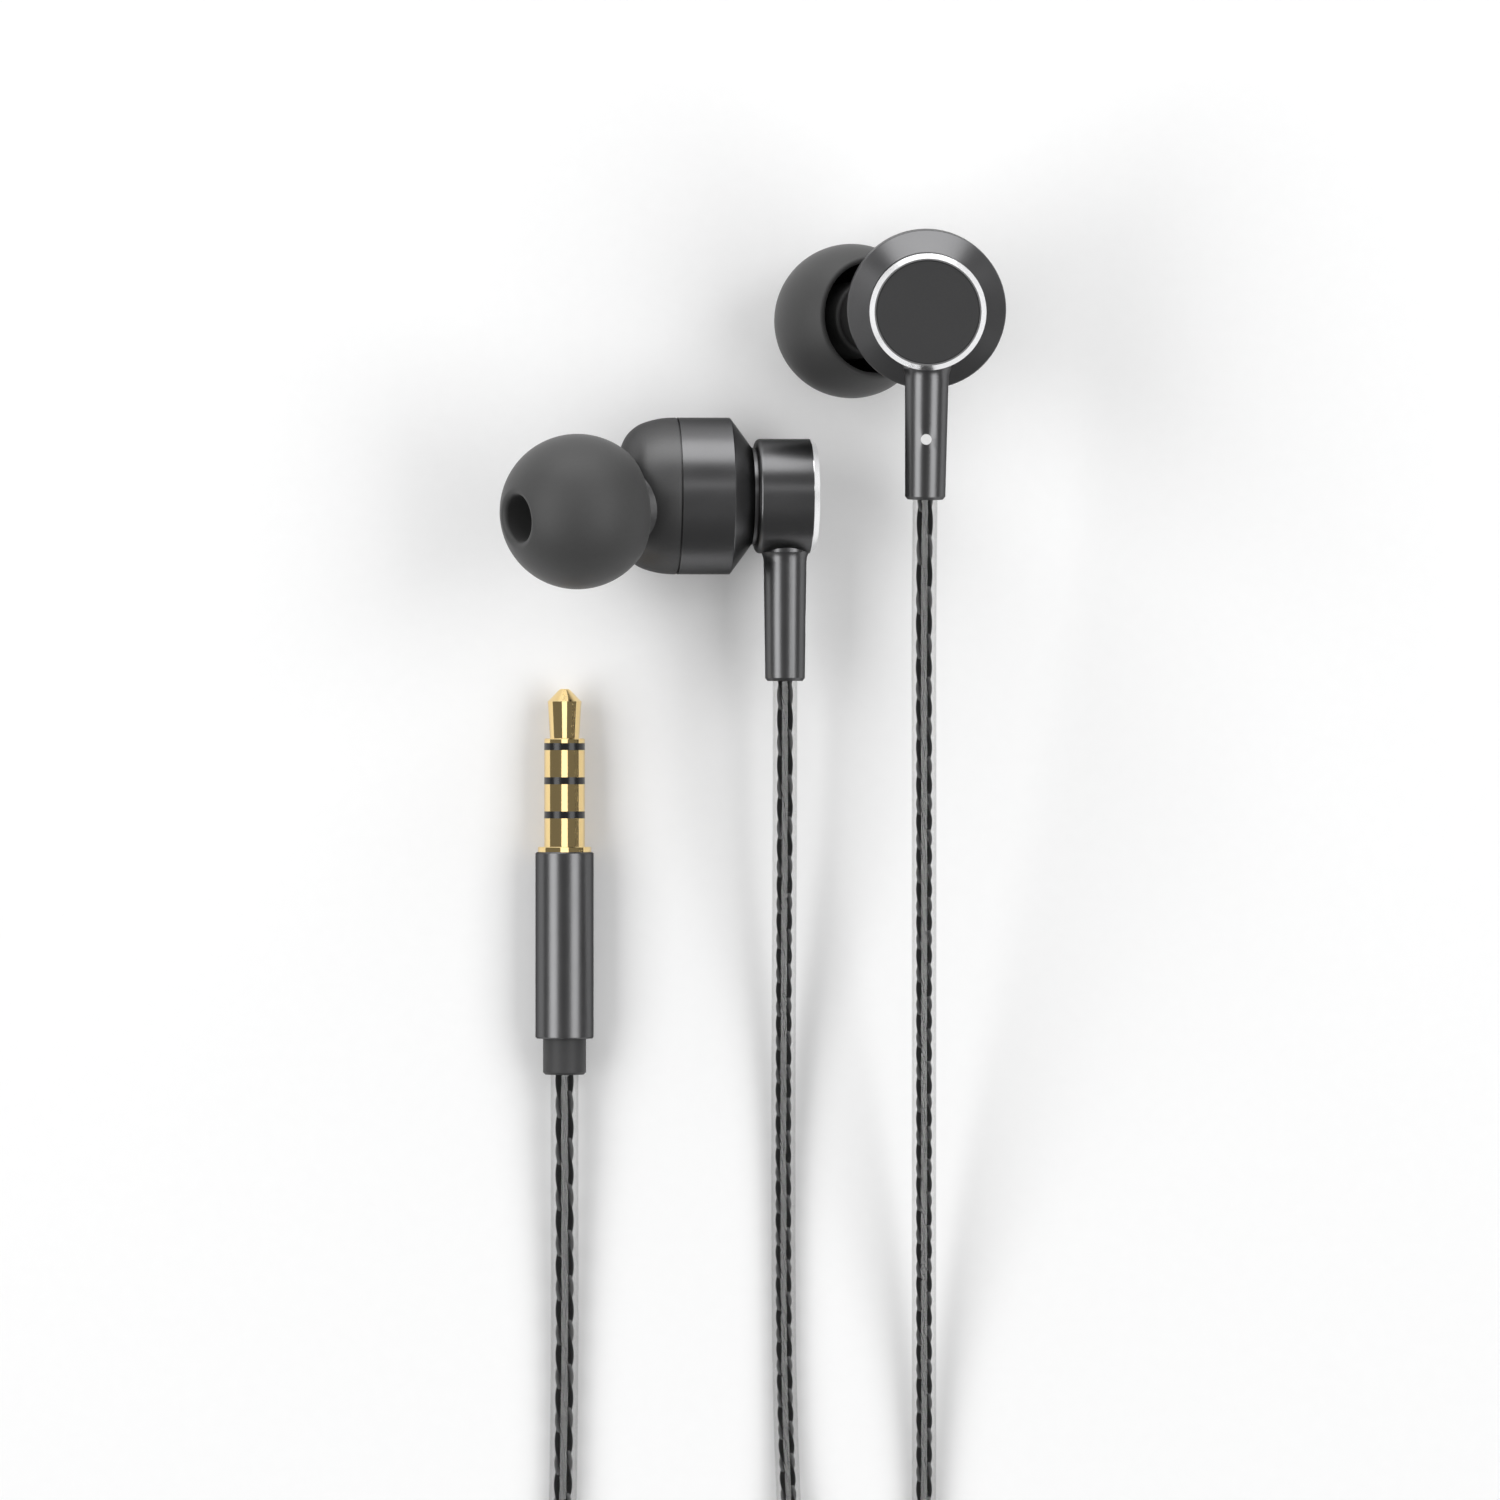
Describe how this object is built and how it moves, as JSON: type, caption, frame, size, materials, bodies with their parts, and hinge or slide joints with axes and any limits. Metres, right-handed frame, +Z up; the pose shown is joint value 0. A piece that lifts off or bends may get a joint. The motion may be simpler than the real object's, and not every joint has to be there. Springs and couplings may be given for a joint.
{
  "type": "wired earphones",
  "caption": "In-ear earphones with angled nozzles, silicone tips, round cord, inline remote and four-pole jack plug; spare cord wound in a flat coil.",
  "frame": {"origin": "on the table, under the middle of the box round the two earpieces (the cord and what is on it left out)", "axes": "+Z up from the table; +Y the way the jack points; +X towards the left earpiece's side"},
  "size_m": [0.0444, 0.2041, 0.0278],
  "materials": {
    "silicone": "matte dark grey silicone",
    "front_shell": "matte dark grey",
    "gunmetal": "satin gunmetal anodised",
    "bright_ring": "diamond-cut bright",
    "cap_face": "matte dark grey",
    "stem": "semi-gloss dark grey",
    "mark": "pad-printed light grey",
    "mesh": "fine woven mesh",
    "driver_frame": "moulded black",
    "steel": "plated steel",
    "magnet": "nickel-plated magnet",
    "copper": "enamelled copper wire",
    "film": "clear pressed film",
    "crimp": "stamped brass",
    "gold": "polished gold plate",
    "insulator": "moulded black",
    "moulding": "inner moulding, black",
    "collar": "satin dark grey elastomer",
    "remote_shell": "satin dark grey",
    "remote_button": "satin gunmetal",
    "board": "green solder mask",
    "switch": "stamped dome",
    "microphone": "metal can",
    "splitter": "satin dark grey",
    "cord": "clear flexible jacket over a dark twisted core"
  },
  "bodies": {
    "earphones": {"cord_coil": "cord", "jack_insulators": "insulator", "jack_ring_1": "gold", "jack_ring_2": "gold", "jack_sleeve": "gold", "jack_tip": "gold", "left_cap_disc": "cap_face", "left_cap_housing": "gunmetal", "left_cap_ring": "bright_ring", "left_cord": "cord", "left_cord_crimp": "crimp", "left_driver_basket": "driver_frame", "left_driver_diaphragm": "film", "left_driver_magnet": "magnet", "left_driver_pole_plate": "steel", "left_driver_yoke": "steel", "left_front_shell": "front_shell", "left_nozzle_mesh": "mesh", "left_rear_shell": "gunmetal", "left_side_mark": "mark", "left_stem": "stem", "left_voice_coil": "copper", "main_cord": "cord", "plug_barrel": "gunmetal", "plug_collar": "collar", "plug_core": "moulding", "remote_board": "board", "remote_bottom_shell": "remote_shell", "remote_microphone": "microphone", "remote_switch": "switch", "remote_top_shell": "remote_shell", "right_cap_disc": "cap_face", "right_cap_housing": "gunmetal", "right_cap_ring": "bright_ring", "right_cord_crimp": "crimp", "right_cord_lower": "cord", "right_cord_upper": "cord", "right_driver_basket": "driver_frame", "right_driver_diaphragm": "film", "right_driver_magnet": "magnet", "right_driver_pole_plate": "steel", "right_driver_yoke": "steel", "right_front_shell": "front_shell", "right_nozzle_mesh": "mesh", "right_rear_shell": "gunmetal", "right_side_mark": "mark", "right_stem": "stem", "right_voice_coil": "copper", "splitter_core": "moulding", "splitter_sleeve": "splitter"},
    "left_eartip": {"left_eartip": "silicone"},
    "right_eartip": {"right_eartip": "silicone"},
    "remote_button": {"remote_button": "remote_button"}
  },
  "joints": [
    {"name": "left_eartip_pull", "type": "slide", "parent": "earphones", "child": "left_eartip", "axis": [-0.4709, -0.0459, -0.881], "range_m": [0, 0.006]},
    {"name": "right_eartip_pull", "type": "slide", "parent": "earphones", "child": "right_eartip", "axis": [-0.8315, -0.1115, 0.5442], "range_m": [0, 0.006]},
    {"name": "remote_button_press", "type": "slide", "parent": "earphones", "child": "remote_button", "axis": [0, 0, -1], "range_m": [0, 0.0003], "stiffness_N_per_m": 3000}
  ]
}
